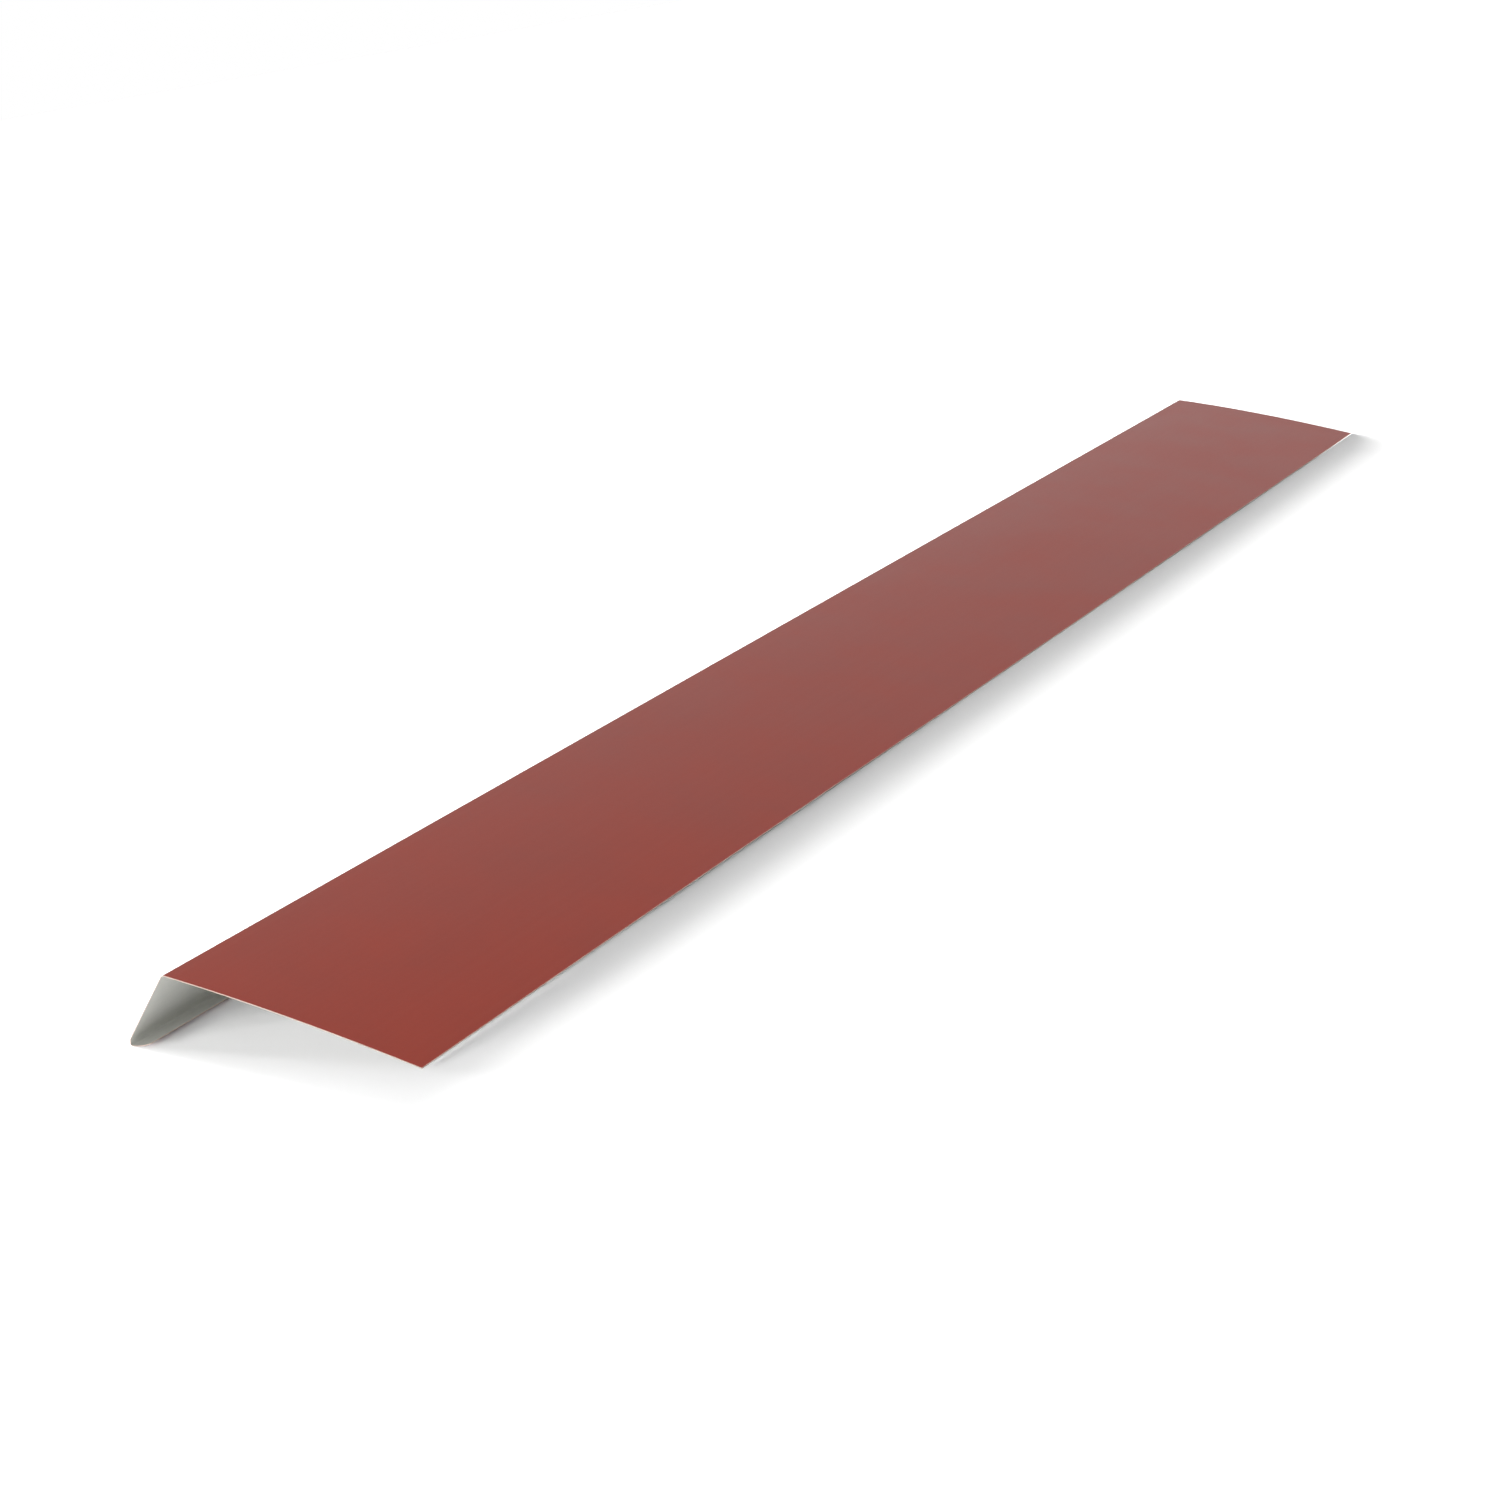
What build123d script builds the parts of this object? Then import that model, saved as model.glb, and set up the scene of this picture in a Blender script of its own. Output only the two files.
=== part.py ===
"""Eaves flashing: one long painted steel sheet, folded to a flange, a leg and a hemmed drip edge.

The section is drawn in the XZ plane on the painted outer face, with the fold at its own origin and
the flange along +X, and is then turned to the pose in which the sheet lies unheld on a level floor:
on the drip edge at -X and on the flange's free edge at +X. The sheet runs along Y.
"""

import os
from math import asin, atan2, degrees

from build123d import *

# The stock, in millimetres
sheet_length = 2000.0
sheet_thickness = 0.5

# The section's straight runs, measured on the painted face from corner to corner
flange_width = 240.0
leg_depth = 74.0
nose_depth = 6.0
lip_width = 23.0

# The section's angles, in degrees
leg_angle = 118.0
nose_turn = 27.0
lip_angle = 67.0

# Radii on the inner side of each bend
fold_radius = 3.5
nose_radius = 1.0
drip_radius = 1.0

STRAIGHT = 180.0


def run(length, heading):
    """A straight run of the section as a vector, its heading counted from the flange's +X."""
    return Vector(length, 0, 0).rotate(Axis.Z, heading)


def section_face():
    """The sheet's section: the painted face's line with its bends, and the thickness inside it."""
    leg_heading = 2 * STRAIGHT - leg_angle
    nose_heading = leg_heading + nose_turn
    lip_heading = nose_heading + STRAIGHT - lip_angle
    free_edge = Vector(flange_width, 0, 0)
    fold = Vector(0, 0, 0)
    knee = fold + run(leg_depth, leg_heading)
    drip_edge = knee + run(nose_depth, nose_heading)
    lip_edge = drip_edge + run(lip_width, lip_heading)
    outer_radii = [radius + sheet_thickness for radius in (fold_radius, nose_radius, drip_radius)]
    with BuildSketch() as section:
        with BuildLine():
            FilletPolyline(free_edge, fold, knee, drip_edge, lip_edge, radius=outer_radii)
            offset(amount=sheet_thickness, side=Side.LEFT, closed=True)
        make_face()
    return section.sketch


def resting_tilt(section):
    """Degrees that the flange slopes down to its free edge, with the drip bend also on the floor."""
    drip_bend = section.edges().filter_by(GeomType.CIRCLE).sort_by(Axis.Y)[0]
    outer_radius = drip_radius + sheet_thickness
    across = Vector(flange_width, -sheet_thickness, 0) - drip_bend.arc_center
    return degrees(atan2(across.Y, across.X) + asin(outer_radius / across.length))


def flashing_sheet():
    """The whole sheet at rest, its origin below the middle of its box, on the floor."""
    section = section_face()
    at_rest = Rot(Z=-resting_tilt(section)) * section
    sheet = extrude(Plane.XZ * at_rest, amount=sheet_length / 2, both=True)
    box = sheet.bounding_box()
    return Pos(-box.center().X, -box.center().Y, -box.min.Z) * sheet


os.makedirs("parts", exist_ok=True)
export_step(flashing_sheet(), "parts/flashing_sheet.step")
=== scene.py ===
"""Looks for an eaves flashing: a coated steel blank, cut, folded and laid on a pale floor.

Everything is in metres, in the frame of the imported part. The blank is laid out flat with its painted
face up, folded along its three bend lines, bowed and rippled as thin sheet is, given its thickness,
and turned to the pose in which it lies on its drip edge and on the flange's free edge.
"""

import math

import bmesh
import bpy
from bpy.props import FloatProperty, FloatVectorProperty, PointerProperty
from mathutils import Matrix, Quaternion, Vector


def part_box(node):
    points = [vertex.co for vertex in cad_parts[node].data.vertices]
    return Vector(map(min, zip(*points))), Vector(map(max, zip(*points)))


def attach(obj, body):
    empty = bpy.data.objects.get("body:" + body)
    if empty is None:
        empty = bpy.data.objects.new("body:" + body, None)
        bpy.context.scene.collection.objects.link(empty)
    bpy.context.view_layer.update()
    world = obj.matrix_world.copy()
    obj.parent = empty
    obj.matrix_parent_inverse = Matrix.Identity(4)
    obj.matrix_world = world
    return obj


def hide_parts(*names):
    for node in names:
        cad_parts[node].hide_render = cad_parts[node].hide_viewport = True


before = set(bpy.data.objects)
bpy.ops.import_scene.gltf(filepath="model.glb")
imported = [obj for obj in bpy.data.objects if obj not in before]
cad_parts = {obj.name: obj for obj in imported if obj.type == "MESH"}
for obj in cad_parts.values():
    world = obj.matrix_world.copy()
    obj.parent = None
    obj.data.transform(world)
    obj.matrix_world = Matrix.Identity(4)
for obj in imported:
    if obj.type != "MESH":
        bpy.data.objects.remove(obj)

bl_info = {
    "name": "Eaves Flashing",
    "version": (1, 0, 0),
    "blender": (4, 5, 0),
    "location": "3D View > Sidebar > Flashing",
    "description": "Folds an eaves flashing from a coated steel blank and lights it in a plain studio",
    "category": "Add Mesh",
}

NODE = "flashing_sheet"
BODY = "root"
CAD_LOW, CAD_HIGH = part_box(NODE)

# Two places closer than this, in metres, are the same
HAIR = 1e-5

# How many cuts divide the lip and the flange across, and the whole sheet along, in two rounds
LIP_CUTS = 7
FLANGE_CUTS = 23
LENGTH_CUTS = (15, 9)

# Bends sharper than this, in degrees, show as edges
SMOOTH_UP_TO = 35

# How far the free edge lies over or under the flange's plane, at even steps from the near end, how
# far each step reaches along the sheet, and how much neighbouring steps add to each other
EDGE_WAVE = (
    -0.0011, -0.0002, 0.0002, -0.0006, -0.0014, -0.0018, -0.0018, -0.0014, -0.0012, -0.0014, -0.0018
)
WAVE_REACH = 0.24
WAVE_OVERLAP = 1.2

# The part of a coat's mottle that comes from broad clouds; the rest is fine grain
CLOUD_SHARE = 0.7

# How strongly the stretched coat, the worn rim, the tone and rubbing show in a coat; the worn rim's pale
# steel is also a painted highlight along the cut edges
STRETCHED_SHARE = 0.12
WORN_RIM_AND_HIGHLIGHT_SHARE = 0.85
WORN_METAL = 0.25
TONE_TO_ROUGHNESS = 0.14
RUBBED_ROUGHNESS = 0.12

# Noise about this value is neither light nor dark; worn rims are ragged about the next one
MIDDLE_TONE = 0.5
RAGGED_MIDDLE = 0.35

# The noise at which a roller streak begins to fade, and at which it is gone
STREAKS_FADE = (0.68, 0.38)

# How often the crazing over a bend and the shear's marks on the cut repeat, along each axis
CRAZING_PER_METRE = (700.0, 60.0, 1.0)
SHEAR_MARKS_PER_METRE = (600.0, 600.0, 2500.0)

# The stage: the floor's size, the softbox's size, place and target, and the camera's, in metres
FLOOR_SIZE = 400
SOFTBOX_SIZE = 1.0
SOFTBOX_PLACE = (0.1, -3.2, 0.5)
SOFTBOX_TARGET = (-0.1, -0.9, 0.03)
CAMERA_PLACE = (1.3498, -2.3392, 0.6877)
CAMERA_TARGET = (0.0504, -0.3811, 0.030)
SENSOR_WIDTH = 36
FARTHEST_SEEN = 1000

# The low lamps round the sheet: compass angle from +X, height over the horizon and width, in
# degrees, and strength
FLOOR_LAMPS = (
    (155, 8.2, 8, 1.2),
    (165, 8.7, 8, 1.8),
    (172, 11.9, 8, 0.35),
    (180, 9.0, 8, 0.4),
    (215, 9.9, 8, 0.3),
    (230, 7.8, 8, 0.328),
    (245, 5.8, 8, 0.392),
    (270, 6.0, 12, 0.3),
    (290, 6.0, 12, 0.496),
)


def length(name, description, default):
    """A length property in metres."""
    return FloatProperty(name=name, description=description, default=default, unit="LENGTH", precision=4)


def angle(name, description, degrees):
    """An angle property, given in degrees."""
    return FloatProperty(
        name=name, description=description, default=math.radians(degrees), subtype="ANGLE"
    )


def colour(name, description, default):
    """A colour property, given as linear red, green and blue."""
    return FloatVectorProperty(
        name=name, description=description, default=default, subtype="COLOR", size=3, min=0, max=1
    )


def share(name, description, default):
    """A property between nothing and the whole."""
    return FloatProperty(name=name, description=description, default=default, min=0, max=1)


class FlashingSizes(bpy.types.PropertyGroup):
    """Sizes of the folded sheet."""

    sheet_length: length("Length", "Length of the sheet along the eaves", CAD_HIGH.y - CAD_LOW.y)
    thickness: length("Thickness", "Steel with both coats", 0.0005)
    flange_width: length("Flange", "Fold to free edge, on the painted face", 0.240)
    leg_depth: length("Leg", "Fold to knee, on the painted face", 0.074)
    nose_depth: length("Nose", "Knee to drip edge, on the painted face", 0.006)
    lip_width: length("Lip", "Drip edge to the lip's cut edge", 0.023)
    leg_angle: angle("Leg angle", "Between the flange's underside and the leg", 118)
    nose_turn: angle("Nose turn", "How far the leg's foot turns in", 27)
    lip_angle: angle("Lip angle", "Between the nose and the lip", 67)
    fold_radius: length("Fold radius", "Painted side of the flange's fold", 0.004)
    nose_radius: length("Knee radius", "Painted side of the knee", 0.0015)
    drip_radius: length("Drip radius", "Painted side of the drip edge", 0.0015)
    crown: length("Crown", "How far the flange bows up at its middle", 0.0026)
    lip_bow: length("Lip bow", "How far the lip bulges down at its middle", 0.0011)


class FlashingFinish(bpy.types.PropertyGroup):
    """Colours and gloss of the coats and the cut steel."""

    paint: colour("Paint", "Brick-red top coat", (0.352, 0.031, 0.010))
    backing: colour("Backing", "Grey-green backing coat", (0.55, 0.55, 0.515))
    # Pale steel of the cut faces and worn rims, lightened so that it also serves as a painted highlight
    # along the cut edges
    steel: colour("Cut steel", "Bare steel at the cut edges, tinged by the primer", (0.70, 0.53, 0.45))
    paint_roughness: share("Paint roughness", "Roughness of the top coat", 0.33)
    paint_specular: share("Paint specular", "How strongly the matted top coat reflects", 0.18)
    backing_roughness: share("Backing roughness", "Roughness of the backing coat", 0.36)
    mottle: share("Mottle", "How much the coats vary in tone", 0.08)
    # The worn rim also carries the painted highlight along the cut edges
    wear_width: length("Edge wear", "Width of the worn rim along the cut edges", 0.0012)


class FlashingStage(bpy.types.PropertyGroup):
    """Floor, lamps and camera."""

    floor: colour("Floor", "Colour of the floor", (0.30, 0.30, 0.30))
    ambient: FloatProperty(
        name="Ambient", description="Brightness of the surroundings as a light", default=0.667, min=0
    )
    front_power: FloatProperty(
        name="Front", description="Softbox in front of the near end", default=45, min=0, unit="POWER"
    )
    floor_lamps: FloatProperty(
        name="Floor lamps",
        description="Strength of the low lamps that light the floor",
        default=1.0,
        min=0,
    )
    lens: FloatProperty(
        name="Lens", description="Focal length of the camera", default=64.923, min=1, unit="CAMERA"
    )
    roll: angle("Roll", "Turn of the camera about its own axis", -10.056)


def deselect_all():
    """Nothing is selected, so an operator acts only on what is picked next."""
    bpy.ops.object.select_all(action="DESELECT")


def pick_vertices(piece, test):
    """Selects, in edit mode, the vertices whose place passes the test."""
    bpy.ops.mesh.select_mode(type="VERT")
    bpy.ops.mesh.select_all(action="DESELECT")
    mesh = bmesh.from_edit_mesh(piece.data)
    for vertex in mesh.verts:
        vertex.select = test(vertex.co)
    mesh.select_flush_mode()
    bmesh.update_edit_mesh(piece.data)


def pick_edges(piece, test):
    """Selects, in edit mode, the edges whose two ends pass the test."""
    bpy.ops.mesh.select_mode(type="EDGE")
    bpy.ops.mesh.select_all(action="DESELECT")
    mesh = bmesh.from_edit_mesh(piece.data)
    for edge in mesh.edges:
        edge.select = test(edge.verts[0].co, edge.verts[1].co)
    mesh.select_flush_mode()
    bmesh.update_edit_mesh(piece.data)


def runs_along(low, high):
    """True for an edge that lies along the sheet."""
    return abs(high.y - low.y) > 0.9 * (high - low).length


def hem(sizes):
    """What is folded down: the leg, the nose and the lip."""
    return sizes.leg_depth + sizes.nose_depth + sizes.lip_width


def girth(sizes):
    """The flat blank's width."""
    return sizes.flange_width + hem(sizes)


def cut_blank(sizes):
    """The flat blank: free edge at +X, fold line at X = 0, painted face up."""
    deselect_all()
    middle = (sizes.flange_width - hem(sizes)) / 2
    bpy.ops.mesh.primitive_plane_add(size=1, location=(middle, 0, 0))
    blank = bpy.context.object
    blank.name = blank.data.name = "folded_sheet"
    blank.scale = (girth(sizes), sizes.sheet_length, 1)
    bpy.ops.object.transform_apply(location=True, rotation=True, scale=True)
    return blank


def fold_blank(blank, sizes):
    """Folds the lip, the nose and the leg down about their lines, and rounds each bend."""
    knee_line = -sizes.leg_depth
    drip_line = knee_line - sizes.nose_depth
    bends = [
        (drip_line, math.pi - sizes.lip_angle, sizes.drip_radius, 12),
        (knee_line, sizes.nose_turn, sizes.nose_radius, 4),
        (0.0, math.pi - sizes.leg_angle, sizes.fold_radius, 8),
    ]
    for line, *_ in bends:
        bpy.ops.mesh.select_all(action="SELECT")
        bpy.ops.mesh.bisect(plane_co=(line, 0, 0), plane_no=(1, 0, 0))
    bow_lip(blank, sizes, drip_line)
    for line, *_ in bends:
        pick_vertices(blank, lambda place: place.x < line + HAIR)
        bpy.ops.object.vertex_group_assign_new()
    for group, (line, turn, *_) in zip(list(blank.vertex_groups), bends):
        bpy.ops.mesh.select_all(action="DESELECT")
        bpy.ops.object.vertex_group_set_active(group=group.name)
        bpy.ops.object.vertex_group_select()
        bpy.ops.transform.rotate(value=turn, orient_axis="Y", center_override=(line, 0, 0))
    for line, turn, radius, steps in bends:
        centre = bend_place(line, bends)
        pick_edges(
            blank,
            lambda low, high: runs_along(low, high)
            and math.hypot(low.x - centre.x, low.z - centre.z) < 10 * HAIR,
        )
        bpy.ops.mesh.bevel(
            offset=radius * math.tan(turn / 2), offset_type="OFFSET", segments=steps, affect="EDGES"
        )
    bpy.ops.object.vertex_group_remove(all=True)


def bow_lip(blank, sizes, drip_line):
    """Curves the flat lip, so that it bulges to its painted side."""
    pick_edges(
        blank, lambda low, high: not runs_along(low, high) and max(low.x, high.x) < drip_line + HAIR
    )
    bpy.ops.mesh.subdivide(number_cuts=LIP_CUTS)
    middle = drip_line - sizes.lip_width / 2
    pick_vertices(blank, lambda place: abs(place.x - middle) < HAIR)
    bpy.ops.transform.translate(
        value=(0, 0, sizes.lip_bow),
        use_proportional_edit=True,
        proportional_edit_falloff="INVERSE_SQUARE",
        proportional_size=sizes.lip_width / 2,
    )


def bend_place(line, bends):
    """Where a bend line of the blank lies once the lines nearer to the flange are folded."""
    place = Vector((line, 0, 0))
    for other, turn, *_ in bends:
        if other > line:
            arm = place - Vector((other, 0, 0))
            arm.rotate(Quaternion((0, 1, 0), -turn))
            place = Vector((other, 0, 0)) + arm
    return place


def split_flange(blank):
    """Divides the flange across its width, so that it can bow."""
    pick_edges(blank, lambda low, high: not runs_along(low, high) and on_flange(low) and on_flange(high))
    bpy.ops.mesh.subdivide(number_cuts=FLANGE_CUTS)


def on_flange(place):
    """True for a place on the flange before it is bowed."""
    return abs(place.z) < HAIR and place.x > 0


def split_length(blank):
    """Divides the sheet along its length, so that its edge can ripple."""
    for cuts in LENGTH_CUTS:
        pick_edges(blank, runs_along)
        bpy.ops.mesh.subdivide(number_cuts=cuts)


def bow_flange(blank, sizes):
    """Bows the flange up along its middle and lets its free edge wave."""
    start = sizes.fold_radius * math.tan((math.pi - sizes.leg_angle) / 2)
    middle = (sizes.flange_width + start) / 2
    pick_vertices(blank, lambda place: on_flange(place) and abs(place.x - middle) < HAIR)
    bpy.ops.transform.translate(
        value=(0, 0, sizes.crown),
        use_proportional_edit=True,
        proportional_edit_falloff="INVERSE_SQUARE",
        proportional_size=middle - start,
    )
    for index, height in enumerate(EDGE_WAVE):
        along = (index / (len(EDGE_WAVE) - 1) - 0.5) * sizes.sheet_length
        pick_vertices(
            blank, lambda place: place.x > sizes.flange_width - HAIR and abs(place.y - along) < HAIR
        )
        bpy.ops.transform.translate(
            value=(0, 0, height / WAVE_OVERLAP),
            use_proportional_edit=True,
            proportional_edit_falloff="SMOOTH",
            proportional_size=WAVE_REACH,
        )


def resting_tilt(sheet):
    """The turn about Y that sets the lowest places of the drip side and the free side level."""
    tilt = 0.0
    for _ in range(8):
        turned = [Quaternion((0, 1, 0), tilt) @ vertex.co for vertex in sheet.data.vertices]
        drip = min((place for place in turned if place.x < 0), key=lambda place: place.z)
        free = min((place for place in turned if place.x > 0), key=lambda place: place.z)
        tilt += math.atan2(free.z - drip.z, free.x - drip.x)
    return tilt


def apply_modifier(piece, kind, **values):
    """Adds a modifier with these values and applies it."""
    modifier = piece.modifiers.new(kind.lower(), kind)
    for name, value in values.items():
        setattr(modifier, name, value)
    bpy.ops.object.modifier_apply(modifier=modifier.name)


def lay_down(sheet):
    """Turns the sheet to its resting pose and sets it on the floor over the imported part."""
    sheet.rotation_euler = (0, resting_tilt(sheet), 0)
    bpy.ops.object.transform_apply(location=True, rotation=True, scale=True)
    left = min(vertex.co.x for vertex in sheet.data.vertices)
    lowest = min(vertex.co.z for vertex in sheet.data.vertices)
    sheet.location = (CAD_LOW.x - left, 0, CAD_LOW.z - lowest)
    bpy.ops.object.transform_apply(location=True, rotation=True, scale=True)


def new_material(name):
    """A material with an empty node tree, its output and its Principled shader."""
    material = bpy.data.materials.new(name)
    material.use_nodes = True
    tree = material.node_tree
    tree.nodes.clear()
    output = tree.nodes.new("ShaderNodeOutputMaterial")
    shader = tree.nodes.new("ShaderNodeBsdfPrincipled")
    tree.links.new(shader.outputs["BSDF"], output.inputs["Surface"])
    return material, tree, shader


def plain(rgb):
    """A colour with full alpha."""
    return (*rgb, 1.0)


def feed(tree, inputs, values):
    """Gives inputs their values by name or number: a socket is linked, anything else is written."""
    for name, value in values.items():
        if isinstance(value, bpy.types.NodeSocket):
            tree.links.new(value, inputs[name])
        else:
            inputs[name].default_value = value


def calculate(tree, operation, *values, clamp=False):
    """A sum of numbers or sockets."""
    node = tree.nodes.new("ShaderNodeMath")
    node.operation = operation
    node.use_clamp = clamp
    feed(tree, node.inputs, dict(enumerate(values)))
    return node.outputs[0]


def stretch(tree, vector, factors):
    """A vector times a vector."""
    node = tree.nodes.new("ShaderNodeVectorMath")
    node.operation = "MULTIPLY"
    feed(tree, node.inputs, {0: vector, 1: factors})
    return node.outputs[0]


def noise(tree, vector, scale, detail):
    """Noise about one half."""
    node = tree.nodes.new("ShaderNodeTexNoise")
    feed(tree, node.inputs, {"Vector": vector, "Scale": scale, "Detail": detail})
    return node.outputs["Fac"]


def per_metre(tree, spacing):
    """How often a pattern of this spacing repeats in a metre."""
    return calculate(tree, "DIVIDE", 1.0, spacing)


def ramp(tree, value, start, end):
    """One at the start, falling smoothly to nothing at the end."""
    node = tree.nodes.new("ShaderNodeMapRange")
    node.interpolation_type = "SMOOTHSTEP"
    limits = {"From Min": start, "From Max": end, "To Min": 1.0, "To Max": 0.0}
    feed(tree, node.inputs, {"Value": value, **limits})
    return node.outputs["Result"]


def blend(tree, share_of_second, first, second):
    """A mix of two colours."""
    node = tree.nodes.new("ShaderNodeMix")
    node.data_type = "RGBA"
    feed(tree, node.inputs, {0: share_of_second, 6: first, 7: second})
    return node.outputs[2]


def new_group(name, inputs, outputs):
    """A node group with named inputs and outputs; gives its tree, what comes in and what goes out."""
    tree = bpy.data.node_groups.new(name, "ShaderNodeTree")
    for label, (kind, value) in inputs.items():
        socket = tree.interface.new_socket(name=label, in_out="INPUT", socket_type=f"NodeSocket{kind}")
        if value is not None:
            socket.default_value = value
    for label, kind in outputs.items():
        tree.interface.new_socket(name=label, in_out="OUTPUT", socket_type=f"NodeSocket{kind}")
    entry = tree.nodes.new("NodeGroupInput")
    leave = tree.nodes.new("NodeGroupOutput")
    return tree, entry.outputs, leave.inputs


def use_group(tree, group, values):
    """Puts a group into a tree and feeds it."""
    node = tree.nodes.new("ShaderNodeGroup")
    node.node_tree = group
    feed(tree, node.inputs, values)
    return node.outputs


def edge_wear_group():
    """Where the coat is worn along the blank's cut edges, with a ragged border; the pale steel laid there
    also serves as a painted highlight along the edges.
    """
    tree, entry, leave = new_group(
        "cut_edge_wear",
        {
            "Place": ("Vector", None),
            "Girth": ("Float", 0.343),
            "Length": ("Float", 2.0),
            "Width": ("Float", 0.0012),
            "Grain": ("Float", 0.0015),
        },
        {"Mask": "Float"},
    )
    parts = tree.nodes.new("ShaderNodeSeparateXYZ")
    feed(tree, parts.inputs, {0: entry["Place"]})
    across, along = parts.outputs["X"], parts.outputs["Y"]
    sides = calculate(tree, "MINIMUM", across, calculate(tree, "SUBTRACT", entry["Girth"], across))
    ends = calculate(tree, "MINIMUM", along, calculate(tree, "SUBTRACT", entry["Length"], along))
    nearest = calculate(tree, "MINIMUM", sides, ends)
    ragged = noise(tree, entry["Place"], per_metre(tree, entry["Grain"]), 3.0)
    inset = calculate(tree, "MULTIPLY", calculate(tree, "SUBTRACT", ragged, RAGGED_MIDDLE), entry["Width"])
    worn = ramp(tree, calculate(tree, "ADD", nearest, inset), 0.0, entry["Width"])
    feed(tree, leave, {"Mask": worn})
    return tree


def mottle_group():
    """A colour that varies softly in tone, in broad clouds and in fine grain."""
    tree, entry, leave = new_group(
        "coat_mottle",
        {
            "Place": ("Vector", None),
            "Colour": ("Color", None),
            "Cloud": ("Float", 0.09),
            "Grain": ("Float", 0.004),
            "Amount": ("Float", 0.035),
        },
        {"Colour": "Color", "Tone": "Float"},
    )
    clouds = noise(tree, entry["Place"], per_metre(tree, entry["Cloud"]), 2.0)
    grain = noise(tree, entry["Place"], per_metre(tree, entry["Grain"]), 2.0)
    tone = calculate(
        tree,
        "ADD",
        calculate(tree, "MULTIPLY", clouds, CLOUD_SHARE),
        calculate(tree, "MULTIPLY", grain, 1 - CLOUD_SHARE),
    )
    range_of_tone = calculate(tree, "MULTIPLY", entry["Amount"], 4.0)
    swing = calculate(tree, "MULTIPLY", calculate(tree, "SUBTRACT", tone, MIDDLE_TONE), range_of_tone)
    toned = tree.nodes.new("ShaderNodeHueSaturation")
    feed(tree, toned.inputs, {"Color": entry["Colour"], "Value": calculate(tree, "ADD", swing, 1.0)})
    feed(tree, leave, {"Colour": toned.outputs["Color"], "Tone": tone})
    return tree


def streaks_group():
    """Faint streaks along the sheet, as the coating roller leaves them."""
    tree, entry, leave = new_group(
        "roller_streaks",
        {"Place": ("Vector", None), "Spacing": ("Float", 0.006), "Run": ("Float", 0.6)},
        {"Mask": "Float"},
    )
    cells = tree.nodes.new("ShaderNodeCombineXYZ")
    feed(
        tree,
        cells.inputs,
        {"X": per_metre(tree, entry["Spacing"]), "Y": per_metre(tree, entry["Run"])},
    )
    streaks = noise(tree, stretch(tree, entry["Place"], cells.outputs[0]), 1.0, 3.0)
    feed(tree, leave, {"Mask": ramp(tree, streaks, *STREAKS_FADE)})
    return tree


def relief_group():
    """The coat's orange peel on the long shallow waves of thin sheet, as a height in metres."""
    tree, entry, leave = new_group(
        "sheet_relief",
        {
            "Place": ("Vector", None),
            "Peel": ("Float", 0.0022),
            "Peel Height": ("Float", 0.000006),
            "Wave": ("Float", 0.16),
            "Wave Height": ("Float", 0.0004),
        },
        {"Height": "Float"},
    )
    peel = noise(tree, entry["Place"], per_metre(tree, entry["Peel"]), 1.0)
    waves = noise(tree, entry["Place"], per_metre(tree, entry["Wave"]), 0.0)
    height = calculate(
        tree,
        "ADD",
        calculate(tree, "MULTIPLY", peel, entry["Peel Height"]),
        calculate(tree, "MULTIPLY", waves, entry["Wave Height"]),
    )
    feed(tree, leave, {"Height": height})
    return tree


def fold_stress_group():
    """Where the coat is stretched over a bend, round a line across the blank."""
    tree, entry, leave = new_group(
        "fold_stress",
        {"Place": ("Vector", None), "Line": ("Float", 0.0), "Width": ("Float", 0.003)},
        {"Mask": "Float"},
    )
    parts = tree.nodes.new("ShaderNodeSeparateXYZ")
    feed(tree, parts.inputs, {0: entry["Place"]})
    away = calculate(tree, "ABSOLUTE", calculate(tree, "SUBTRACT", parts.outputs["X"], entry["Line"]))
    crazed = noise(tree, stretch(tree, entry["Place"], CRAZING_PER_METRE), 1.0, 3.0)
    band = ramp(tree, away, 0.0, entry["Width"])
    feed(tree, leave, {"Mask": calculate(tree, "MULTIPLY", band, crazed)})
    return tree


def coat_groups():
    """The shared effects of both coats, each made once."""
    return {
        "wear": edge_wear_group(),
        "mottle": mottle_group(),
        "streaks": streaks_group(),
        "relief": relief_group(),
        "stress": fold_stress_group(),
    }


def place_on_blank(tree, sizes):
    """The place on the flat blank in metres: across the girth, then along the sheet."""
    flat = tree.nodes.new("ShaderNodeUVMap")
    flat.uv_map = "UVMap"
    return stretch(tree, flat.outputs["UV"], (girth(sizes), sizes.sheet_length, 0.0))


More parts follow.
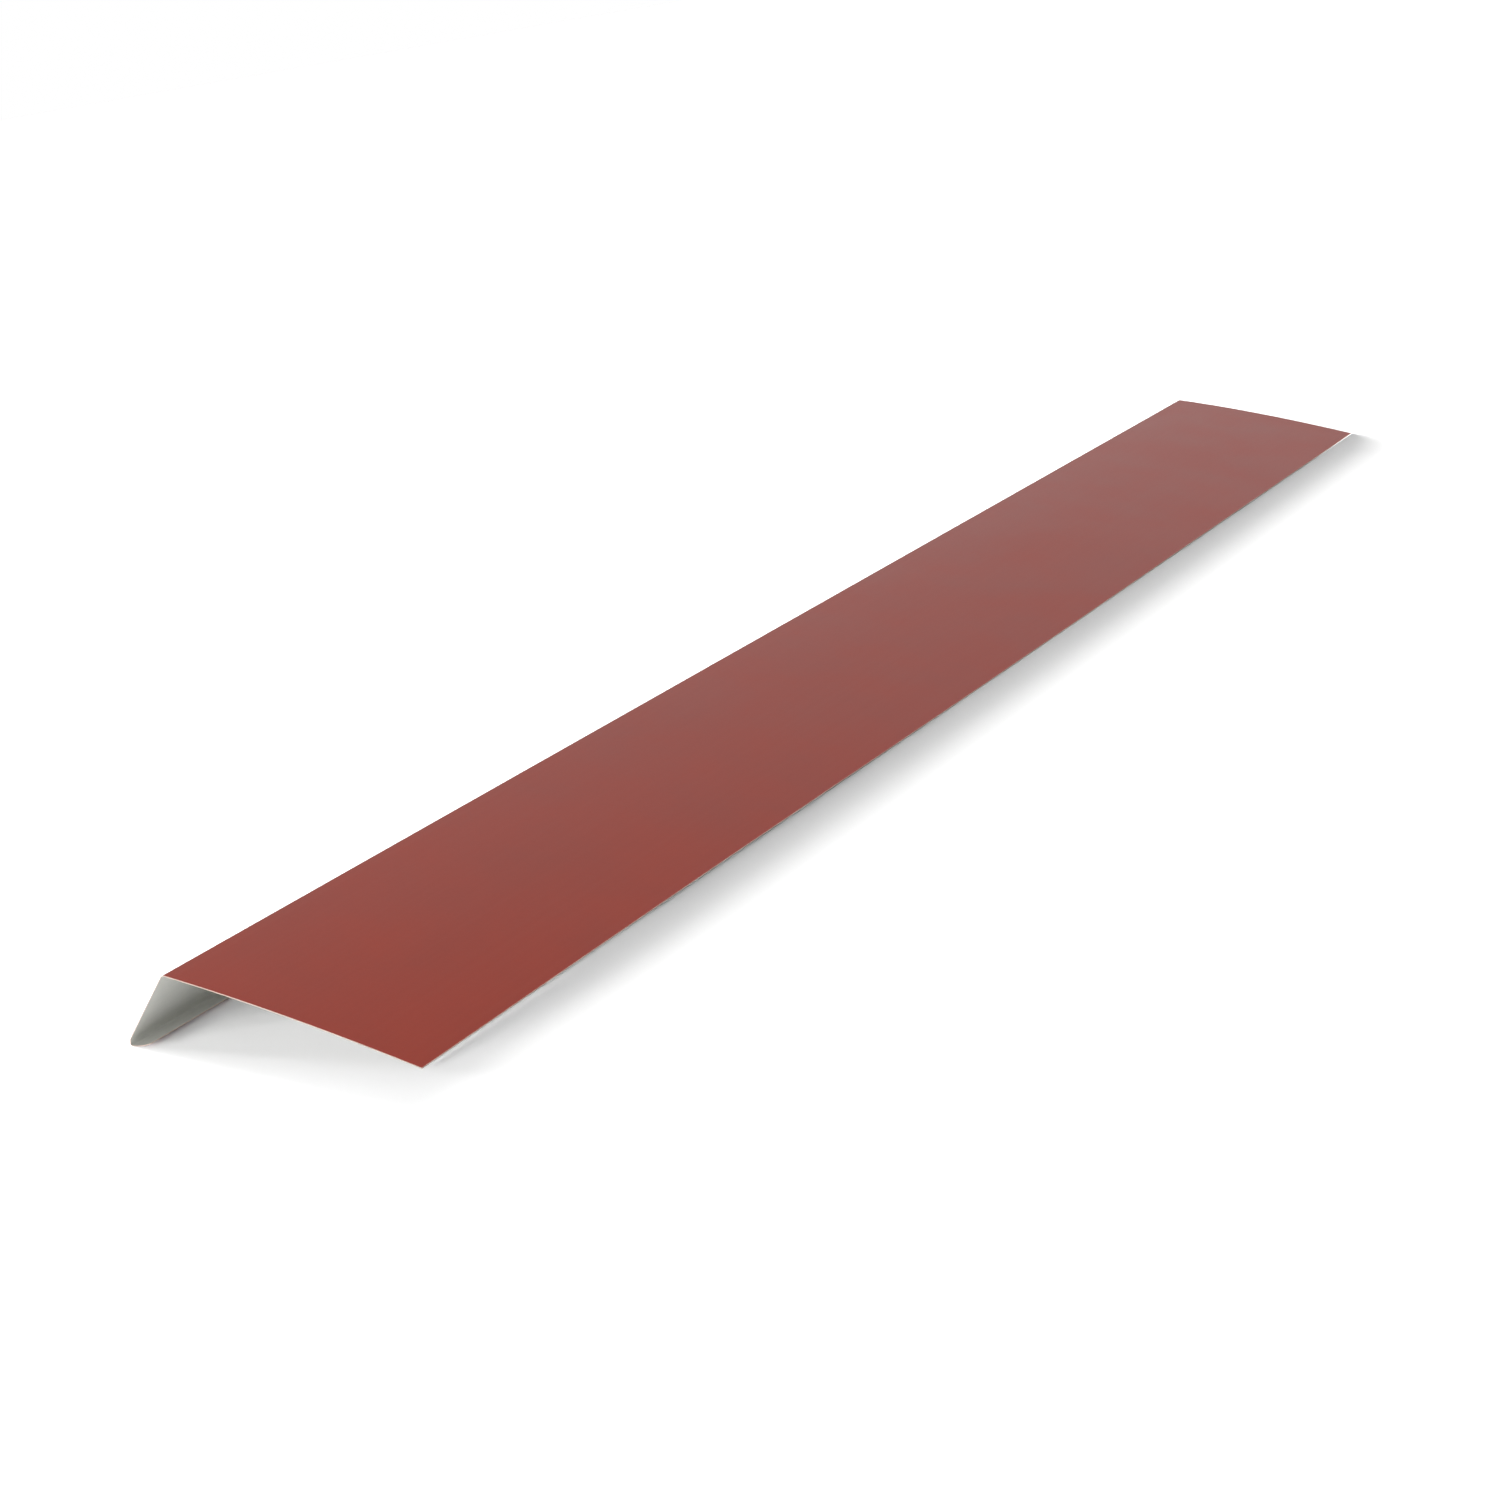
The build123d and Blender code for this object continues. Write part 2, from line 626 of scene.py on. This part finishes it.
def coat_material(name, colours, look, groups, sizes):
    """A coat with mottle, streaks, relief, bends that are stretched and cut edges that are worn to pale
    steel, which also serves as a painted highlight along them.
    """
    material, tree, shader = new_material(name)
    rgb, steel = colours
    place = place_on_blank(tree, sizes)
    mottle = use_group(
        tree, groups["mottle"], {"Place": place, "Colour": plain(rgb), "Amount": look["mottle"]}
    )
    streaks = use_group(tree, groups["streaks"], {"Place": place})["Mask"]
    relief = use_group(tree, groups["relief"], {"Place": place})["Height"]
    wear = use_group(
        tree,
        groups["wear"],
        {"Place": place, "Girth": girth(sizes), "Length": sizes.sheet_length, "Width": look["wear"]},
    )["Mask"]
    stress = 0.0
    for line in (sizes.lip_width, sizes.lip_width + sizes.nose_depth, hem(sizes)):
        bend = use_group(tree, groups["stress"], {"Place": place, "Line": line})["Mask"]
        stress = calculate(tree, "MAXIMUM", stress, bend)
    drawn = calculate(tree, "MULTIPLY", streaks, look["streaks"])
    streaked = blend(tree, drawn, mottle["Colour"], plain(look["streak"]))
    strained = calculate(tree, "MULTIPLY", stress, STRETCHED_SHARE)
    stretched = blend(tree, strained, streaked, plain(look["stretched"]))
    # Worn rim in pale steel: bare steel and a painted highlight along the cut edges
    worn = blend(tree, calculate(tree, "MULTIPLY", wear, WORN_RIM_AND_HIGHLIGHT_SHARE), stretched, plain(steel))
    off_tone = calculate(tree, "SUBTRACT", mottle["Tone"], MIDDLE_TONE)
    rougher = calculate(tree, "MULTIPLY", off_tone, TONE_TO_ROUGHNESS)
    rubbed = calculate(tree, "MULTIPLY", calculate(tree, "ADD", wear, stress), RUBBED_ROUGHNESS)
    uneven = calculate(tree, "ADD", rougher, look["roughness"])
    roughness = calculate(tree, "ADD", uneven, rubbed, clamp=True)
    bump = tree.nodes.new("ShaderNodeBump")
    feed(tree, bump.inputs, {"Strength": 1.0, "Distance": 1.0, "Height": relief})
    feed(
        tree,
        shader.inputs,
        {
            "Base Color": worn,
            "Roughness": roughness,
            "Metallic": calculate(tree, "MULTIPLY", wear, WORN_METAL),
            "Specular IOR Level": look["specular"],
            "Normal": bump.outputs["Normal"],
        },
    )
    return material


def paint_material(finish, sizes, groups):
    """Matted brick-red coil coating."""
    look = {
        "mottle": finish.mottle,
        "wear": finish.wear_width,
        "streaks": 0.05,
        "streak": (0.40, 0.07, 0.04),
        "stretched": (0.50, 0.16, 0.11),
        "roughness": finish.paint_roughness,
        "specular": finish.paint_specular,
    }
    return coat_material("brick_red_coat", (finish.paint, finish.steel), look, groups, sizes)


def backing_material(finish, sizes, groups):
    """Thin grey-green backing coat, through which the zinc shows in streaks."""
    look = {
        "mottle": finish.mottle,
        "wear": finish.wear_width,
        "streaks": 0.30,
        "streak": (0.48, 0.50, 0.47),
        "stretched": (0.70, 0.71, 0.68),
        "roughness": finish.backing_roughness,
        "specular": 0.5,
    }
    return coat_material("grey_backing_coat", (finish.backing, finish.steel), look, groups, sizes)


def steel_material(finish):
    """Bare steel between two films of zinc, where the blank was sheared, made pale so that the cut faces
    also carry a painted highlight.
    """
    material, tree, shader = new_material("cut_steel_edge")
    spot = tree.nodes.new("ShaderNodeTexCoord").outputs["Object"]
    shear = noise(tree, stretch(tree, spot, SHEAR_MARKS_PER_METRE), 1.0, 3.0)
    dull = plain([0.7 * channel for channel in finish.steel])
    sheared = blend(tree, shear, dull, plain(finish.steel))
    roughness = calculate(tree, "ADD", calculate(tree, "MULTIPLY", shear, 0.3), 0.3)
    bump = tree.nodes.new("ShaderNodeBump")
    feed(tree, bump.inputs, {"Strength": 1.0, "Distance": 0.00005, "Height": shear})
    feed(
        tree,
        shader.inputs,
        {
            "Base Color": sheared,
            "Metallic": 0.3,
            "Roughness": roughness,
            "Normal": bump.outputs["Normal"],
        },
    )
    return material


class FLASHING_OT_fold_sheet(bpy.types.Operator):
    """Cut, fold, bow and coat the sheet, and lay it on the floor"""

    bl_idname = "flashing.fold_sheet"
    bl_label = "Fold the sheet"

    def execute(self, context):
        sizes, finish = context.scene.flashing_sizes, context.scene.flashing_finish
        sheet = cut_blank(sizes)
        bpy.ops.object.mode_set(mode="EDIT")
        fold_blank(sheet, sizes)
        split_flange(sheet)
        split_length(sheet)
        bow_flange(sheet, sizes)
        bpy.ops.object.mode_set(mode="OBJECT")
        groups = coat_groups()
        sheet.data.materials.append(paint_material(finish, sizes, groups))
        sheet.data.materials.append(backing_material(finish, sizes, groups))
        sheet.data.materials.append(steel_material(finish))
        apply_modifier(
            sheet,
            "SOLIDIFY",
            thickness=sizes.thickness,
            offset=-1,
            use_even_offset=True,
            material_offset=1,
            material_offset_rim=2,
        )
        lay_down(sheet)
        bpy.ops.object.shade_smooth_by_angle(angle=math.radians(SMOOTH_UP_TO))
        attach(sheet, BODY)
        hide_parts(NODE)
        return {"FINISHED"}


def white_to_the_eye(tree, lit, seen):
    """Mixes two shaders: one as a light, the other for camera, glossy and transmission rays."""
    path = tree.nodes.new("ShaderNodeLightPath").outputs
    seen_or_mirrored = calculate(tree, "MAXIMUM", path["Is Camera Ray"], path["Is Glossy Ray"])
    any_of = calculate(tree, "MAXIMUM", seen_or_mirrored, path["Is Transmission Ray"])
    mix = tree.nodes.new("ShaderNodeMixShader")
    feed(tree, mix.inputs, {0: any_of, 1: lit, 2: seen})
    return mix.outputs["Shader"]


def set_surroundings(stage):
    """White surroundings to the eye and in reflections, and a soft grey light."""
    world = bpy.data.worlds.new("studio_surroundings")
    bpy.context.scene.world = world
    world.use_nodes = True
    tree = world.node_tree
    tree.nodes.clear()
    output = tree.nodes.new("ShaderNodeOutputWorld")
    light = tree.nodes.new("ShaderNodeBackground")
    feed(tree, light.inputs, {"Strength": stage.ambient})
    white = tree.nodes.new("ShaderNodeBackground")
    feed(tree, white.inputs, {"Color": (1, 1, 1, 1), "Strength": 1.0})
    shader = white_to_the_eye(tree, light.outputs["Background"], white.outputs["Background"])
    tree.links.new(shader, output.inputs["Surface"])


def add_floor(stage):
    """A plain floor."""
    deselect_all()
    bpy.ops.mesh.primitive_plane_add(size=FLOOR_SIZE, location=(0, 0, CAD_LOW.z))
    floor = bpy.context.object
    floor.name = floor.data.name = "studio_floor"
    bpy.ops.object.transform_apply(location=True, rotation=True, scale=True)
    material, tree, shader = new_material("pale_floor")
    matt = {"Roughness": 1.0, "Specular IOR Level": 0.0}
    feed(tree, shader.inputs, {"Base Color": plain(stage.floor), **matt})
    floor.data.materials.append(material)
    return floor


def aim(piece, place, target, roll=0.0):
    """Puts a lamp or the camera at a place and turns it to a target."""
    piece.location = place
    level = (Vector(target) - Vector(place)).to_track_quat("-Z", "Y")
    piece.rotation_euler = (level @ Quaternion((0, 0, 1), roll)).to_euler()


def add_softbox(stage):
    """A weak soft lamp in front, which lights the inside of the leg."""
    bpy.ops.object.light_add(type="AREA")
    lamp = bpy.context.object
    lamp.name = lamp.data.name = "front_softbox"
    lamp.data.size = SOFTBOX_SIZE
    lamp.data.energy = stage.front_power
    aim(lamp, SOFTBOX_PLACE, SOFTBOX_TARGET)


def add_floor_lamps(stage, floor):
    """Low lamps that light only the floor, so that the sheet's soft shadow falls to the right."""
    lit = bpy.data.collections.new("lit_by_floor_lamps")
    lit.objects.link(floor)
    for compass, height, width, strength in FLOOR_LAMPS:
        turn, rise = math.radians(compass), math.radians(height)
        bpy.ops.object.light_add(type="SUN")
        lamp = bpy.context.object
        lamp.name = lamp.data.name = f"floor_lamp_{compass}"
        lamp.data.energy = math.pi * stage.floor_lamps * strength / math.sin(rise)
        lamp.data.angle = math.radians(width)
        toward = Vector(
            (math.cos(turn) * math.cos(rise), math.sin(turn) * math.cos(rise), math.sin(rise))
        )
        aim(lamp, toward * 5, (0, 0, 0))
        lamp.light_linking.receiver_collection = lit


def add_camera(stage):
    """The camera that sees the sheet as in the photograph."""
    bpy.ops.object.camera_add()
    camera = bpy.context.object
    camera.name = camera.data.name = "studio_camera"
    camera.data.sensor_width = SENSOR_WIDTH
    camera.data.lens = stage.lens
    camera.data.clip_end = FARTHEST_SEEN
    aim(camera, CAMERA_PLACE, CAMERA_TARGET, stage.roll)
    bpy.context.scene.camera = camera


class FLASHING_OT_set_stage(bpy.types.Operator):
    """Set the floor, the surroundings, the lamps and the camera"""

    bl_idname = "flashing.set_stage"
    bl_label = "Set the stage"

    def execute(self, context):
        stage = context.scene.flashing_stage
        context.scene.view_settings.view_transform = "Standard"
        set_surroundings(stage)
        floor = add_floor(stage)
        add_softbox(stage)
        add_floor_lamps(stage, floor)
        add_camera(stage)
        return {"FINISHED"}


class FLASHING_PT_panel(bpy.types.Panel):
    """Sizes, finish and stage of the flashing"""

    bl_idname = "FLASHING_PT_panel"
    bl_label = "Eaves Flashing"
    bl_space_type = "VIEW_3D"
    bl_region_type = "UI"
    bl_category = "Flashing"

    def draw(self, context):
        scene = context.scene
        for group in (scene.flashing_sizes, scene.flashing_finish, scene.flashing_stage):
            box = self.layout.box()
            for name in group.bl_rna.properties.keys():
                if name not in {"rna_type", "name"}:
                    box.prop(group, name)
        self.layout.operator(FLASHING_OT_fold_sheet.bl_idname)
        self.layout.operator(FLASHING_OT_set_stage.bl_idname)


CLASSES = (
    FlashingSizes,
    FlashingFinish,
    FlashingStage,
    FLASHING_OT_fold_sheet,
    FLASHING_OT_set_stage,
    FLASHING_PT_panel,
)


def register():
    """Registers the classes and hangs their settings on the scene."""
    for kind in CLASSES:
        bpy.utils.register_class(kind)
    bpy.types.Scene.flashing_sizes = PointerProperty(type=FlashingSizes)
    bpy.types.Scene.flashing_finish = PointerProperty(type=FlashingFinish)
    bpy.types.Scene.flashing_stage = PointerProperty(type=FlashingStage)


def unregister():
    """Takes the settings off the scene and unregisters the classes."""
    del bpy.types.Scene.flashing_stage
    del bpy.types.Scene.flashing_finish
    del bpy.types.Scene.flashing_sizes
    for kind in reversed(CLASSES):
        bpy.utils.unregister_class(kind)


def main():
    """Makes the sheet and its stage."""
    register()
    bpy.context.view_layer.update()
    bpy.ops.flashing.fold_sheet()
    bpy.ops.flashing.set_stage()


if __name__ == "__main__":
    main()
